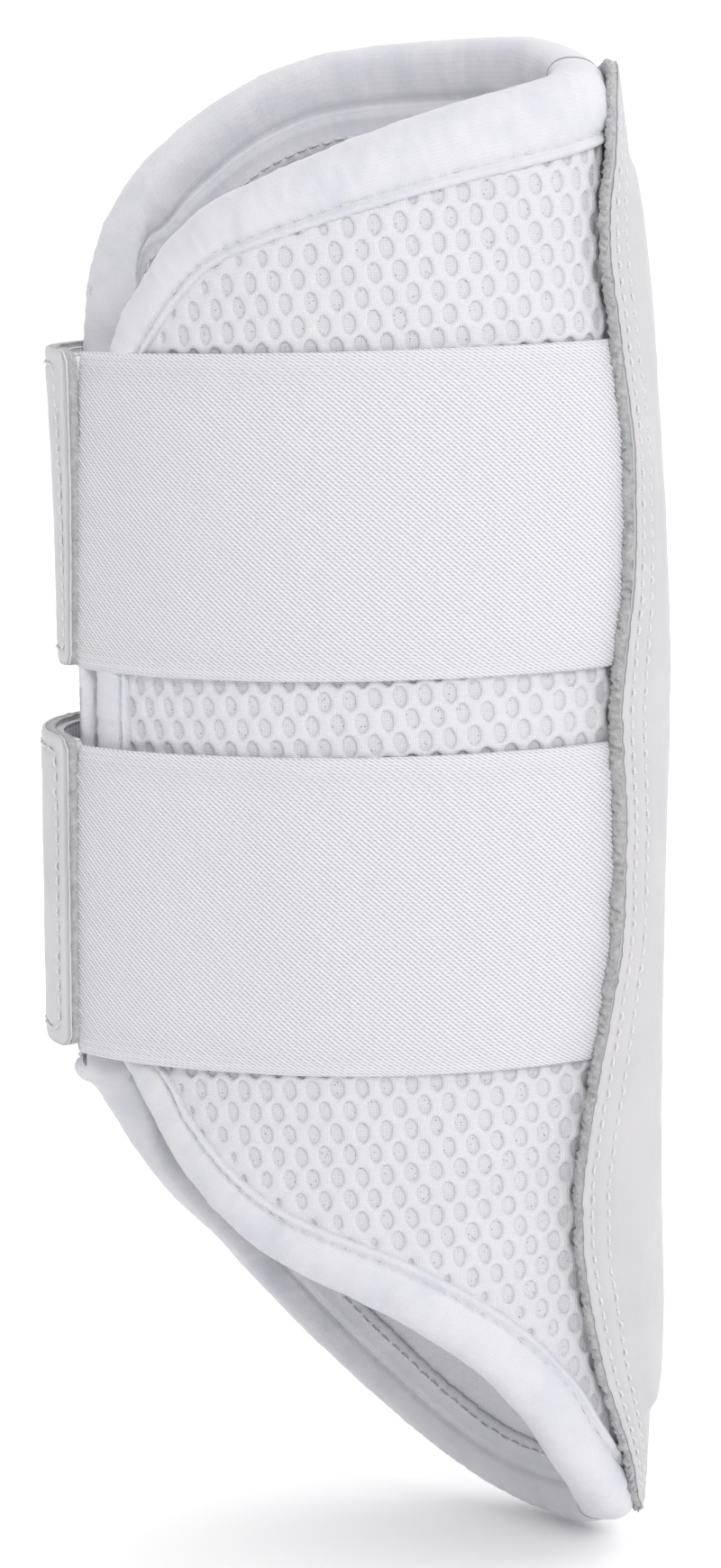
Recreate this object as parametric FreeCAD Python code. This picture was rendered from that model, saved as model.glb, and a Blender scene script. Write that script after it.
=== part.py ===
"""Horse leg boot, a hind brushing boot, closed as it stands around the leg. Millimetres.

+Z is up, +X is the back of the leg, where the strike guard is, and -X is its front, the nose.
The near side is -Y and the far side is +Y. The origin is in the middle of the leg channel.

Every layer follows one oval that wraps the leg. The oval has two round ends joined by two long
side arcs, and its back end leans in towards the front above the lower strap. A layer is the
space between two offsets of that oval, and a side view cuts it to the shape of its panel.
"""

import FreeCAD, Part
import math
import os

V = FreeCAD.Vector

# The oval that the outside of the air mesh follows.
END_RADIUS = 20.0
HALF_DEPTH = 33.0
FRONT_END_X = -38.5
BACK_END_X = 36.5
LEAN_START_Z = 20.0
LEAN_SPAN = 130.0
LEAN_AMOUNT = 10.0
LEAN_POWER = 1.5
SECTION_HEIGHTS = (-175.0, LEAN_START_Z, 65.0, 110.0, 165.0)

# Layers, as offsets from the oval, inner face first.
LINING = (-8.0, -6.5)
FOAM = (-6.5, -2.5)
MESH = (-2.5, 0.0)
BINDING = (-8.8, 0.2)
LOOP_PATCH = (0.0, 1.4)
HOOK_TAPE = (1.7, 2.8)
ELASTIC = (0.6, 2.2)
ELASTIC_END = (1.0, 2.8)
TAB = (2.8, 5.0)
GUARD_FLANGE = (2.5, 5.0)
GUARD_DOME = (4.8, 6.6)
GUARD_INSERT = (3.1, 5.2)

# Where the bodies part. The seams beside the guard are cut square to the side arcs, at these angles
# from the arc's middle. The tab cuts run out of the front end's centre, at these angles from -X.
NEAR_SEAM_ANGLE = 34.3
FAR_SEAM_ANGLE = 19.5
TAB_ANGLE = 47.0
TIP_ANGLE = 52.0
BODY_GAP = 0.5
SLIT_X = -46.0
SLIT_GAP = 0.8

# Side views, as (x, z). Each runs from the back of the boot to the nose.
BINDING_WIDTH = 10.0
HOOK_BINDING_WIDTH = 5.5
FRONT_BAND_TOP = 78.0
FRONT_BAND_BOTTOM = -48.0
NEAR_TOP = ((75, 150), (58, 147.5), (40, 140.5), (7, 130.5), (-24, 118), (-40, 102))
NEAR_BOTTOM = ((75, -160), (58, -152), (42, -127), (24, -110), (0, -97), (-28, -80))
FAR_TOP = ((75, 147), (44, 149.5), (6, 147.5), (-34, 138.5), (-52, 122), (-57, 109), (-58.5, 95))
FAR_BOTTOM = ((75, -157), (46, -159), (18, -152), (-12, -131), (-38, -103), (-53, -83), (-58.5, -66))
FAR_HOOK = ((-80, 95), (-58.5, 95), (-46.4, 87), (-46.4, -56), (-58.5, -66), (-80, -66))

# The straps, 2.5 in elastic that rises a little towards the back, and their tabs.
STRAP_CENTRES = {"upper": 58.0, "lower": -21.0}
STRAP_SLOPE = 0.034
ELASTIC_WIDTH = 63.5
TAB_WIDTH = 62.5
TAB_CORNER = 9.0
TAB_TIP_X = -4.0
HOOK_TAPE_WIDTH = 50.0
LOOP_PATCH_WIDTH = 54.0
LOOP_PATCH_ENDS = (-49.0, 16.0)
ANCHOR_BACK_X = 52.5
ELASTIC_END_ANGLE = 12.0

# The strike guard faces back and a little to the far side, so its side views are drawn along a
# line turned by GUARD_TURN. Its front edge is the same on both sides, with a raised dome inside.
GUARD_TURN = 20.0
GUARD_EDGE = (
    (46.5, 149), (45.8, 134), (42.4, 113), (45, 93), (48.8, 72), (49.2, 46), (46.6, 20), (48, 0),
    (47.6, -26), (42.6, -55), (39.6, -80), (42, -102), (49, -126), (54, -139), (56.8, -153),
)
DOME_EDGE = (
    (53, 128), (50.8, 113), (52.6, 93), (54.8, 72), (55.6, 45), (55.2, 20), (55.2, -10),
    (53, -45), (49.8, -80), (52, -108), (58, -130),
)
INSERT_INSET = 1.0

FAR_OUT = 90.0


def back_end_x(z):
    """The back end circle's centre at height z, leaning in above LEAN_START_Z."""
    rise = max(0.0, z - LEAN_START_Z) / LEAN_SPAN
    return BACK_END_X - LEAN_AMOUNT * rise**LEAN_POWER


def side_arc(z):
    """The side arcs at height z: their middle x, radius and the angle that each half spans."""
    back = back_end_x(z)
    half_span = (back - FRONT_END_X) / 2
    rise = HALF_DEPTH - END_RADIUS
    radius = (half_span**2 + HALF_DEPTH**2 - END_RADIUS**2) / (2 * rise)
    return (back + FRONT_END_X) / 2, radius, math.asin(half_span / (radius - END_RADIUS))


def oval(z, offset):
    """The oval at height z, grown by offset, as a closed wire of four arcs."""
    back, front = back_end_x(z), FRONT_END_X
    middle, _, join = side_arc(z)
    end, side = END_RADIUS + offset, HALF_DEPTH + offset
    dx, dy = end * math.sin(join), end * math.cos(join)
    near_back, near_front = V(back + dx, -dy, z), V(front - dx, -dy, z)
    far_back, far_front = V(back + dx, dy, z), V(front - dx, dy, z)
    arcs = (
        Part.Arc(near_back, V(middle, -side, z), near_front),
        Part.Arc(near_front, V(front - end, 0, z), far_front),
        Part.Arc(far_front, V(middle, side, z), far_back),
        Part.Arc(far_back, V(back + end, 0, z), near_back),
    )
    return Part.Wire([arc.toShape() for arc in arcs])


def core(offset):
    """Everything inside the oval grown by offset."""
    return Part.makeLoft([oval(z, offset) for z in SECTION_HEIGHTS], True, True)


def layer(span):
    """The closed tube between two offsets of the oval."""
    return core(span[1]).cut(core(span[0]))


def curve(points):
    """Arcs through side-view points, each from one point through the next to the third."""
    places = [V(x, 0, z) for x, z in points]
    return [Part.Arc(*places[i : i + 3]).toShape() for i in range(0, len(places) - 2, 2)]


def line(start, end):
    return Part.LineSegment(V(start[0], 0, start[1]), V(end[0], 0, end[1])).toShape()


def polygon(points):
    """A closed side view with straight edges."""
    return Part.Wire([line(p, q) for p, q in zip(points, points[1:] + points[:1])])


def prism(wire, side):
    """A side view carried out from the middle plane: side -1 is near, 1 is far, 0 is both."""
    face = Part.Face(wire)
    if side:
        return face.extrude(V(0, side * FAR_OUT, 0))
    face.translate(V(0, -FAR_OUT, 0))
    return face.extrude(V(0, 2 * FAR_OUT, 0))


def half_space(centre, angle, gap=0.0):
    """The block on one side of an upright cut that runs out of centre at angle, in degrees from +X.

    The block is on the side that the angle grows to, and starts gap away from the cut.
    """
    size = 4 * FAR_OUT
    block = Part.makeBox(size, size, size, V(-size / 2, gap, -size / 2))
    block.rotate(V(0, 0, 0), V(0, 0, 1), angle)
    block.translate(V(centre[0], centre[1], 0))
    return block


def seam_spaces():
    """The space in front of each seam and behind it, for the near side and the far side."""
    middle, radius, _ = side_arc(LEAN_START_Z)
    depth = radius - HALF_DEPTH
    near, far = (middle, depth), (middle, -depth)
    near_angle, far_angle = NEAR_SEAM_ANGLE - 90, 90 - FAR_SEAM_ANGLE
    return {
        "near_panel": half_space(near, near_angle + 180),
        "near_root": half_space(near, near_angle, BODY_GAP),
        "far_panel": half_space(far, far_angle),
        "far_root": half_space(far, far_angle + 180, BODY_GAP),
    }


def slab(low, high):
    """Everything between two heights."""
    return Part.makeBox(4 * FAR_OUT, 4 * FAR_OUT, high - low, V(-2 * FAR_OUT, -2 * FAR_OUT, low))


def near_outline():
    """The near side of the boot in side view, its front edge at the slit beside the nose."""
    front_x = SLIT_X + SLIT_GAP / 2
    top_front, bottom_front = (front_x, FRONT_BAND_TOP), (front_x, FRONT_BAND_BOTTOM)
    return Part.Wire([
        *curve(NEAR_TOP + (top_front,)),
        line(top_front, bottom_front),
        *curve((bottom_front,) + NEAR_BOTTOM[::-1]),
        line(NEAR_BOTTOM[0], NEAR_TOP[0]),
    ])


def far_outline():
    """The far side of the boot in side view, longer than the near side at both ends."""
    front = FAR_HOOK[0], FAR_HOOK[-1]
    return Part.Wire([
        *curve(FAR_TOP),
        line(FAR_TOP[-1], front[0]),
        line(*front),
        line(front[1], FAR_BOTTOM[-1]),
        *curve(FAR_BOTTOM[::-1]),
        line(FAR_BOTTOM[0], FAR_TOP[0]),
    ])


def inset(wire, width):
    """The outline drawn in by width."""
    return wire.makeOffset2D(-width)


def side_pieces():
    """The field and the binding band of the near side, the far side and the far side's nose hook."""
    widths = {"near": BINDING_WIDTH, "far": BINDING_WIDTH, "hook": HOOK_BINDING_WIDTH}
    outlines = {"near": near_outline(), "far": far_outline(), "hook": polygon(FAR_HOOK)}
    sides = {"near": -1, "far": 1, "hook": -1}
    pieces = {}
    for name, outline in outlines.items():
        field = prism(inset(outline, widths[name]), sides[name])
        pieces[name] = (field, prism(outline, sides[name]).cut(field))
    return pieces


def split_at_seams(tube, pieces, part):
    """A layer's near panel, far panel and root shapes. part is 0 for the field, 1 for the band."""
    spaces = seam_spaces()
    near, far, hook = (tube.common(pieces[name][part]) for name in ("near", "far", "hook"))
    root = near.common(spaces["near_root"]).fuse(far.common(spaces["far_root"]))
    return near.common(spaces["near_panel"]), far.common(spaces["far_panel"]).fuse(hook), root


def panel_nodes():
    """Air mesh, foam, lining and binding tape of the near panel, the far panel and the root."""
    pieces = side_pieces()
    nodes = {}
    for name, span in (("mesh", MESH), ("foam", FOAM), ("lining", LINING)):
        near, far, root = split_at_seams(layer(span), pieces, 0)
        nodes.update({"near_" + name: near, "far_" + name: far, "rear_" + name: root})
    near, far, root = split_at_seams(layer(BINDING), pieces, 1)
    above, below = slab(FRONT_BAND_TOP, 2 * FAR_OUT), slab(-2 * FAR_OUT, FRONT_BAND_BOTTOM)
    between = slab(FRONT_BAND_BOTTOM, FRONT_BAND_TOP)
    for name, panel in (("near", near), ("far", far)):
        nodes[name + "_top_binding"] = panel.common(above)
        nodes[name + "_front_binding"] = panel.common(between)
        nodes[name + "_bottom_binding"] = panel.common(below)
    nodes["rear_top_binding"] = root.common(above)
    nodes["rear_bottom_binding"] = root.common(below)
    return nodes


def guard_prism(points, width=0.0):
    """Everything behind a guard edge, drawn in by width, square to the way the guard faces."""
    top, bottom = (FAR_OUT, points[0][1]), (FAR_OUT, points[-1][1])
    outline = Part.Wire([*curve(points), line(points[-1], bottom), line(bottom, top), line(top, points[0])])
    shape = prism(inset(outline, width) if width else outline, 0)
    shape.rotate(V(0, 0, 0), V(0, 0, 1), GUARD_TURN)
    return shape


def guard_nodes():
    """The moulded strike guard and the hard insert sealed under its dome."""
    insert = layer(GUARD_INSERT).common(guard_prism(DOME_EDGE, INSERT_INSET))
    flange = layer(GUARD_FLANGE).common(guard_prism(GUARD_EDGE))
    dome = layer(GUARD_DOME).common(guard_prism(DOME_EDGE))
    return {"guard_shell": flange.fuse(dome).cut(insert), "guard_insert": insert}


def strap_outline(centre, width, ends):
    """A strap's side view between two x places."""
    low, high = centre - width / 2, centre + width / 2
    front, back = ends
    corners = ((front, low), (back, low), (back, high), (front, high))
    return polygon(tuple((x, z + STRAP_SLOPE * x) for x, z in corners))


def rounded(outline, radius):
    """The outline with its corners rounded."""
    return outline.makeOffset2D(-radius).makeOffset2D(radius)


def strap_nodes(name):
    """One strap: its sewn anchor, its elastic, the tab around the nose and the tab's hook-taped tip."""
    centre = STRAP_CENTRES[name]
    spaces = seam_spaces()
    nose = (FRONT_END_X, 0)
    before_tab, past_tab = half_space(nose, 180 + TAB_ANGLE, BODY_GAP), half_space(nose, TAB_ANGLE)
    before_tip, past_tip = half_space(nose, 180 - TIP_ANGLE, BODY_GAP), half_space(nose, -TIP_ANGLE)
    past_elastic_end = half_space(nose, 180 + ELASTIC_END_ANGLE)
    whole, far_out = (-FAR_OUT, FAR_OUT), -FAR_OUT
    elastic = layer(ELASTIC).common(prism(strap_outline(centre, ELASTIC_WIDTH, whole), -1))
    anchor_space = prism(strap_outline(centre, ELASTIC_WIDTH, (far_out, ANCHOR_BACK_X)), -1)
    sewn_end = layer(ELASTIC_END).common(prism(strap_outline(centre, TAB_WIDTH, whole), -1))
    tab = layer(TAB).common(prism(strap_outline(centre, TAB_WIDTH, whole), 0))
    tip_outline = rounded(strap_outline(centre, TAB_WIDTH, (far_out, TAB_TIP_X)), TAB_CORNER)
    tape_outline = strap_outline(centre, HOOK_TAPE_WIDTH, (far_out, TAB_TIP_X - TAB_CORNER / 2))
    loop_outline = strap_outline(centre, LOOP_PATCH_WIDTH, LOOP_PATCH_ENDS)
    return {
        name + "_elastic_anchor": elastic.common(anchor_space).common(spaces["near_root"]),
        name + "_elastic": elastic.common(spaces["near_panel"]).common(before_tab),
        name + "_elastic_end": sewn_end.common(past_tab).common(past_elastic_end),
        name + "_tab": tab.common(past_tab).common(before_tip),
        name + "_tab_tip": layer(TAB).common(prism(tip_outline, 1)).common(past_tip),
        name + "_hook_tape": layer(HOOK_TAPE).common(prism(tape_outline, 1)).common(past_tip),
        name + "_loop_patch": layer(LOOP_PATCH).common(prism(loop_outline, 1)),
    }


def main():
    os.makedirs("parts", exist_ok=True)
    nodes = {**panel_nodes(), **guard_nodes(), **strap_nodes("upper"), **strap_nodes("lower")}
    for name, shape in nodes.items():
        merged = shape.removeSplitter()
        print(name, len(merged.Solids), "solid,", round(merged.Volume), "mm3, valid", merged.isValid())
        merged.exportStep("parts/" + name + ".step")


main()
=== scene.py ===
"""Looks of the horse leg boot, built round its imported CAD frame.

The boot stands upright: its nose is at -X, its guarded back at +X, and its near side faces -Y.
Sizes are in millimetres until a mesh is made, and then in metres.
"""
import math

import bmesh
import bpy
import numpy as np
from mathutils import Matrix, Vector


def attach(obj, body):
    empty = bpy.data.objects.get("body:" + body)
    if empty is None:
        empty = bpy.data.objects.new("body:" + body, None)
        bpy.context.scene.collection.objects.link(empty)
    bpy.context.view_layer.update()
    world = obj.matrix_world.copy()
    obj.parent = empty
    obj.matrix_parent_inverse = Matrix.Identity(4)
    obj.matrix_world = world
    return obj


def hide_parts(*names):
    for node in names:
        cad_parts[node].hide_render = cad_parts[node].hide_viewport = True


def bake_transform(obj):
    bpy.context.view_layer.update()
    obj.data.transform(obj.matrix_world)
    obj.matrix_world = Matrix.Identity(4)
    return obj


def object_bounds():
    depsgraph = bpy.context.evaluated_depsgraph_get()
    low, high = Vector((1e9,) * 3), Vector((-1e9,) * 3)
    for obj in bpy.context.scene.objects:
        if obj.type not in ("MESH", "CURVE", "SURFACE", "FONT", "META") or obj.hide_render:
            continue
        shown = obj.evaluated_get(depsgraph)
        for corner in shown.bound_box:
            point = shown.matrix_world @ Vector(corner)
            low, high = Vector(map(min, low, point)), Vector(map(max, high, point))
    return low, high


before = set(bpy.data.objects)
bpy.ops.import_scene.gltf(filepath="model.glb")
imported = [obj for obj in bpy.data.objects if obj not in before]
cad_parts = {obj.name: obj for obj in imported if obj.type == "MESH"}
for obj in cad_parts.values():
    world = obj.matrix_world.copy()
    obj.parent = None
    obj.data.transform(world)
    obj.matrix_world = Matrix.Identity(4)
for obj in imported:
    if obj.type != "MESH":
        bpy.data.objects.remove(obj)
cad_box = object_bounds()

MM = 0.001
RNG = np.random.default_rng(7)

# ---------------------------------------------------------------- the oval shell
END_RADIUS, HALF_DEPTH, FRONT_END_X, BACK_END_X = 20.0, 33.0, -38.5, 36.5
LEAN_START_Z, LEAN_SPAN, LEAN_AMOUNT, LEAN_POWER = 20.0, 130.0, 10.0, 1.5
NEAR_FRONT_S = 17.2                 # girth from the nose to the near panel's front edge
FAR_FRONT_S = -16.4                 # and to the far panel's front edge, which is on the near side too
JOIN = 8.0                          # girth past the back's middle line to where the two sides meet
JOIN_LAP = 0.7                      # how far each rim's binding runs on past that
RIM_Z = 130.0                       # a height near the top rims, where their ends are measured
RIM_SAMPLES = 1500


def section(z):
    """Back end's centre, middle, flank radius and join angle of the oval at a height."""
    back = BACK_END_X - LEAN_AMOUNT * (np.clip(z - LEAN_START_Z, 0, None) / LEAN_SPAN) ** LEAN_POWER
    half, middle = (back - FRONT_END_X) / 2, (back + FRONT_END_X) / 2
    radius = (half ** 2 + HALF_DEPTH ** 2 - END_RADIUS ** 2) / (2 * (HALF_DEPTH - END_RADIUS))
    return back, middle, radius, np.arcsin(half / (radius - END_RADIUS))


def half_girth(z):
    _, _, radius, join = section(z)
    return 2 * (math.pi / 2 - join) * END_RADIUS + 2 * join * radius


def surface(s, z, off):
    """Point at girth s from the nose (near side positive), height z, off outside the mesh's face."""
    s, z, off = np.broadcast_arrays(*(np.asarray(v, float) for v in (s, z, off)))
    back, middle, radius, join = section(z)
    side, along = np.where(s >= 0, -1.0, 1.0), np.abs(s)
    end = (math.pi / 2 - join) * END_RADIUS
    flank = end + 2 * join * radius
    a = along / END_RADIUS
    t = -join + (along - end) / radius
    b = (end + flank - along) / END_RADIUS
    x = np.where(along < end, FRONT_END_X - (END_RADIUS + off) * np.cos(a),
                 np.where(along < flank, middle + (radius + off) * np.sin(t),
                          back + (END_RADIUS + off) * np.cos(b)))
    y = np.where(along < end, (END_RADIUS + off) * np.sin(a),
                 np.where(along < flank, HALF_DEPTH - radius + (radius + off) * np.cos(t),
                          (END_RADIUS + off) * np.sin(b)))
    return np.stack([x, side * y, z], -1)


def s_from_back(q, z):
    """Girth from the nose for a girth q from the back's middle line (near side positive)."""
    return np.where(np.asarray(q) >= 0, 1.0, -1.0) * (half_girth(z) - np.abs(q))


def smooth(points):
    """Smooth curve through (position, value) pairs, flat beyond its ends."""
    x, y = np.array(points, float).T
    slope = np.gradient(y, x)

    def value(t):
        t = np.clip(np.asarray(t, float), x[0], x[-1])
        i = np.clip(np.searchsorted(x, t) - 1, 0, len(x) - 2)
        h = x[i + 1] - x[i]
        u = (t - x[i]) / h
        return (y[i] * (1 + 2 * u) * (1 - u) ** 2 + y[i + 1] * u * u * (3 - 2 * u)
                + h * slope[i] * u * (1 - u) ** 2 - h * slope[i + 1] * u * u * (1 - u))
    return value


def step(t):
    t = np.clip(t, 0, 1)
    return t * t * (3 - 2 * t)


# Rims as (girth, height), from the nose to the back. The far side's hook lies on the near side.
NEAR_TOP = smooth([(17.0, 30), (18.3, 60), (20.0, 79), (21.2, 85.5), (23.4, 91), (27, 97), (30.8, 101.6),
                   (35, 106.8), (40, 111.8), (48, 117.5), (58, 121.9), (70, 126.8), (82, 131.1), (94, 134.9),
                   (106, 138.0), (116, 140.2), (124, 141.9), (134, 143.6), (143, 145.3), (153, 146)])
NEAR_BOTTOM = smooth([(17.0, -45), (17.8, -49), (21.2, -52.6), (26, -57.5), (31, -63.1), (35, -69.3),
                      (40, -75.5), (48, -83.3), (58, -90.4), (70, -96), (82, -101), (94, -107.8),
                      (106, -116.7), (116, -127.5), (124, -139.0), (132, -147.0), (138, -150.8),
                      (144, -153.2), (152, -155.3)])
FAR_TOP = smooth([(-26, 83), (-12, 84), (0, 84.5), (3.2, 86), (4.4, 90), (5.2, 95.5), (6.2, 101.5),
                  (7.8, 107.5), (10, 112.6), (13.2, 117.8), (17.5, 122.9), (24, 128.7), (32, 134.6),
                  (42, 140.4), (54, 145.1), (68, 147.6), (84, 148.8), (100, 149.4), (112, 149.1),
                  (120, 147.5), (127, 145.6), (136, 144)])
FAR_BOTTOM = smooth([(-26, -55.5), (-20, -58.5), (-12, -62), (-5, -64.5), (0, -66.0), (3, -67.4), (6, -70.2),
                     (10, -75.5), (14, -81.3), (18, -86.9), (24, -94.2), (32, -101.8), (42, -112.8),
                     (54, -124.9), (68, -136.9), (84, -148), (100, -155.2), (116, -158.0),
                     (126, -158.0), (131, -157), (136, -155.3), (144, -153.5)])


# ---------------------------------------------------------------- mesh making
def piece(name, points, faces, material, weave=None):
    """A mesh object from points in mm. weave holds the cloth's own coordinates for its material."""
    data = bpy.data.meshes.new(name)
    data.from_pydata((np.asarray(points, float) * MM).tolist(), [], [tuple(f) for f in faces])
    data.validate()
    if weave is not None and len(data.vertices) == len(weave):
        attribute = data.attributes.new("weave", "FLOAT_VECTOR", "POINT")
        attribute.data.foreach_set("vector", np.asarray(weave, np.float32).ravel())
    data.shade_smooth()
    made = bpy.data.objects.new(name, data)
    bpy.context.scene.collection.objects.link(made)
    data.materials.append(material)
    return made


def grid_faces(rows, columns, wrap_rows=False, wrap_columns=False, flip=False):
    """Quads of a rows x columns grid of points."""
    i = np.arange(rows if wrap_rows else rows - 1)
    j = np.arange(columns if wrap_columns else columns - 1)
    i, j = (v.ravel() for v in np.meshgrid(i, j, indexing="ij"))
    k, m = (i + 1) % rows, (j + 1) % columns
    quads = np.stack([i * columns + j, k * columns + j, k * columns + m, i * columns + m], -1)
    return quads[:, ::-1] if flip else quads


def capped_tube_faces(rows, columns, flip=False):
    """Faces of a closed tube of rings, with a face over each end."""
    faces = [tuple(f) for f in grid_faces(rows, columns, wrap_columns=True, flip=flip)]
    n = rows * columns
    return faces + [tuple(range(columns)), tuple(range(n - 1, n - 1 - columns, -1))]


def slab_faces(rows, columns, flip=False):
    """Faces of a closed slab between two grids. The outer grid's points come first."""
    n = rows * columns
    rim = np.concatenate([np.arange(columns), np.arange(1, rows) * columns + columns - 1,
                          (rows - 1) * columns + np.arange(columns - 2, -1, -1),
                          np.arange(rows - 2, 0, -1) * columns])
    after = np.roll(rim, -1)
    faces = np.concatenate([grid_faces(rows, columns), grid_faces(rows, columns, flip=True) + n,
                            np.stack([rim, rim + n, after + n, after], -1)])
    return faces[:, ::-1] if flip else faces


def tube(path, normals, radius, sides):
    """Points and faces of a round tube along a path. radius may vary."""
    tangent = np.gradient(path, axis=0)
    tangent /= np.linalg.norm(tangent, axis=1)[:, None]
    across = np.cross(tangent, normals)
    across /= np.linalg.norm(across, axis=1)[:, None]
    up = np.cross(across, tangent)
    radius = np.broadcast_to(radius, len(path))
    angle = np.linspace(0, 2 * math.pi, sides, endpoint=False)
    ring = (across[:, None] * np.cos(angle)[None, :, None] + up[:, None] * np.sin(angle)[None, :, None])
    points = (path[:, None] + ring * radius[:, None, None]).reshape(-1, 3)
    return points, capped_tube_faces(len(path), sides)


def joined(parts):
    """Several (points, faces) as one."""
    points, faces, n = [], [], 0
    for p, f in parts:
        points.append(p)
        faces += [tuple(int(i) + n for i in face) for face in f]
        n += len(p)
    return np.concatenate(points), faces


def noise(points, scale, seed=0, octaves=3):
    """Smooth random field from sums of sines, about -1 to 1. It repeats the same on each run."""
    random = np.random.default_rng(seed)
    points, total, weight = np.asarray(points, float), 0, 0
    for octave in range(octaves):
        strength = 0.6 ** octave
        for _ in range(5):
            direction = random.normal(size=points.shape[-1])
            direction /= np.linalg.norm(direction)
            direction *= 2 * math.pi / scale * 2 ** octave * random.uniform(0.7, 1.4)
            total = total + strength * np.sin(points @ direction + random.uniform(0, 6.3))
        weight += strength * 5 ** 0.5
    return total / weight


# ---------------------------------------------------------------- materials
class Look:
    """A material's node tree, with short calls for what the cloths here need."""

    def __init__(self, name, roughness=0.8, sheen=0.0, specular=0.3, coat=0.0):
        self.material = bpy.data.materials.new(name)
        self.material.use_nodes = True
        self.tree = self.material.node_tree
        self.shader = self.tree.nodes["Principled BSDF"]
        self.shader.inputs["Roughness"].default_value = roughness
        self.shader.inputs["Sheen Weight"].default_value = sheen
        self.shader.inputs["Sheen Roughness"].default_value = 0.5
        self.shader.inputs["Specular IOR Level"].default_value = specular
        self.shader.inputs["Coat Weight"].default_value = coat
        self.shader.inputs["Coat Roughness"].default_value = 0.35
        self.height = None

    def node(self, kind, **values):
        made = self.tree.nodes.new(kind)
        for key, value in values.items():
            if hasattr(made, key) and not isinstance(value, bpy.types.NodeSocket) and key not in made.inputs:
                setattr(made, key, value)
            else:
                self.put(made, key.replace("_", " ") if key not in made.inputs else key, value)
        return made

    def put(self, made, key, value):
        if isinstance(value, bpy.types.NodeSocket):
            self.tree.links.new(value, made.inputs[key])
        else:
            made.inputs[key].default_value = value

    def weave(self):
        """The cloth's own coordinates in mm."""
        return self.node("ShaderNodeAttribute", attribute_name="weave").outputs["Vector"]

    def space(self, scale=1000.0):
        """Object coordinates, in mm unless scaled otherwise."""
        place = self.node("ShaderNodeTexCoord")
        mapping = self.node("ShaderNodeMapping", Vector=place.outputs["Object"])
        mapping.inputs["Scale"].default_value = (scale,) * 3
        return mapping.outputs["Vector"]

    def math(self, operation, a, b):
        made = self.node("ShaderNodeMath", operation=operation)
        self.put(made, 0, a)
        self.put(made, 1, b)
        return made.outputs[0]

    def noise(self, vector, scale, detail=3.0, rough=0.55):
        made = self.node("ShaderNodeTexNoise", Vector=vector, Scale=scale, Detail=detail, Roughness=rough)
        return made.outputs["Fac"]

    def wave(self, vector, pitch, direction="X", distortion=0.0, detail_scale=1.0):
        """Bands of that pitch in the vector's units."""
        scale = math.pi / 10 / pitch
        made = self.node("ShaderNodeTexWave", Vector=vector, Scale=scale, Distortion=distortion)
        made.bands_direction = direction
        made.inputs["Detail Scale"].default_value = detail_scale
        return made.outputs["Fac"]

    def cells(self, vector, scale, feature="F1"):
        made = self.node("ShaderNodeTexVoronoi", Vector=vector, Scale=scale)
        made.feature = feature
        return made.outputs["Distance"]

    def ramp(self, value, low, high, a=0.0, b=1.0):
        made = self.node("ShaderNodeMapRange", Value=value)
        for key, number in (("From Min", low), ("From Max", high), ("To Min", a), ("To Max", b)):
            made.inputs[key].default_value = number
        return made.outputs["Result"]

    def colour(self, *stops, value):
        """Colour by value from (position, (r, g, b)) stops, in linear light."""
        made = self.node("ShaderNodeValToRGB", Fac=value)
        ramp = made.color_ramp
        while len(ramp.elements) < len(stops):
            ramp.elements.new(0.5)
        for element, (position, rgb) in zip(ramp.elements, stops):
            element.position, element.color = position, (*rgb, 1)
        return made.outputs["Color"]

    def mix(self, a, b, factor):
        made = self.node("ShaderNodeMix", data_type="RGBA")
        self.put(made, "Factor", factor)
        for key, value in (("A", a), ("B", b)):
            socket = next(i for i in made.inputs if i.name == key and i.type == "RGBA")
            if isinstance(value, bpy.types.NodeSocket):
                self.tree.links.new(value, socket)
            else:
                socket.default_value = (*value, 1)
        return next(o for o in made.outputs if o.type == "RGBA")

    def bump(self, height, distance, strength=1.0):
        """Adds relief of that depth in mm."""
        made = self.node("ShaderNodeBump", Height=height, Distance=distance * MM, Strength=strength)
        if self.height is not None:
            self.tree.links.new(self.height, made.inputs["Normal"])
        self.height = made.outputs["Normal"]
        self.tree.links.new(self.height, self.shader.inputs["Normal"])

    def base(self, colour):
        self.put(self.shader, "Base Color", colour)

    def rough(self, value):
        self.put(self.shader, "Roughness", value)


def soiled(look, clean, tinge, scale=14.0):
    """A clean colour with faint, uneven shading, its patches about that many mm wide."""
    return look.mix(clean, tinge, look.ramp(look.noise(look.space(), 1 / scale), 0.42, 0.75))


def make_net_look():
    look = Look("net_thread", roughness=0.72, sheen=0.25, specular=0.25)
    cloth = look.weave()
    courses = look.wave(cloth, 0.42, "Y", 1.2)
    wales = look.wave(cloth, 0.5, "X", 1.6)
    loops = look.math("MULTIPLY", courses, wales)
    fuzz = look.noise(cloth, 2.6, 4)
    look.bump(loops, 0.11, 0.8)
    look.bump(fuzz, 0.09, 0.5)
    shade = look.math("ADD", look.math("MULTIPLY", loops, 0.5), look.math("MULTIPLY", fuzz, 0.5))
    threads = look.colour((0.1, (0.62, 0.615, 0.64)), (0.6, (0.715, 0.71, 0.735)), value=shade)
    look.base(soiled(look, threads, (0.65, 0.645, 0.68)))
    look.rough(look.ramp(fuzz, 0.3, 0.7, 0.62, 0.85))
    return look.material


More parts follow.
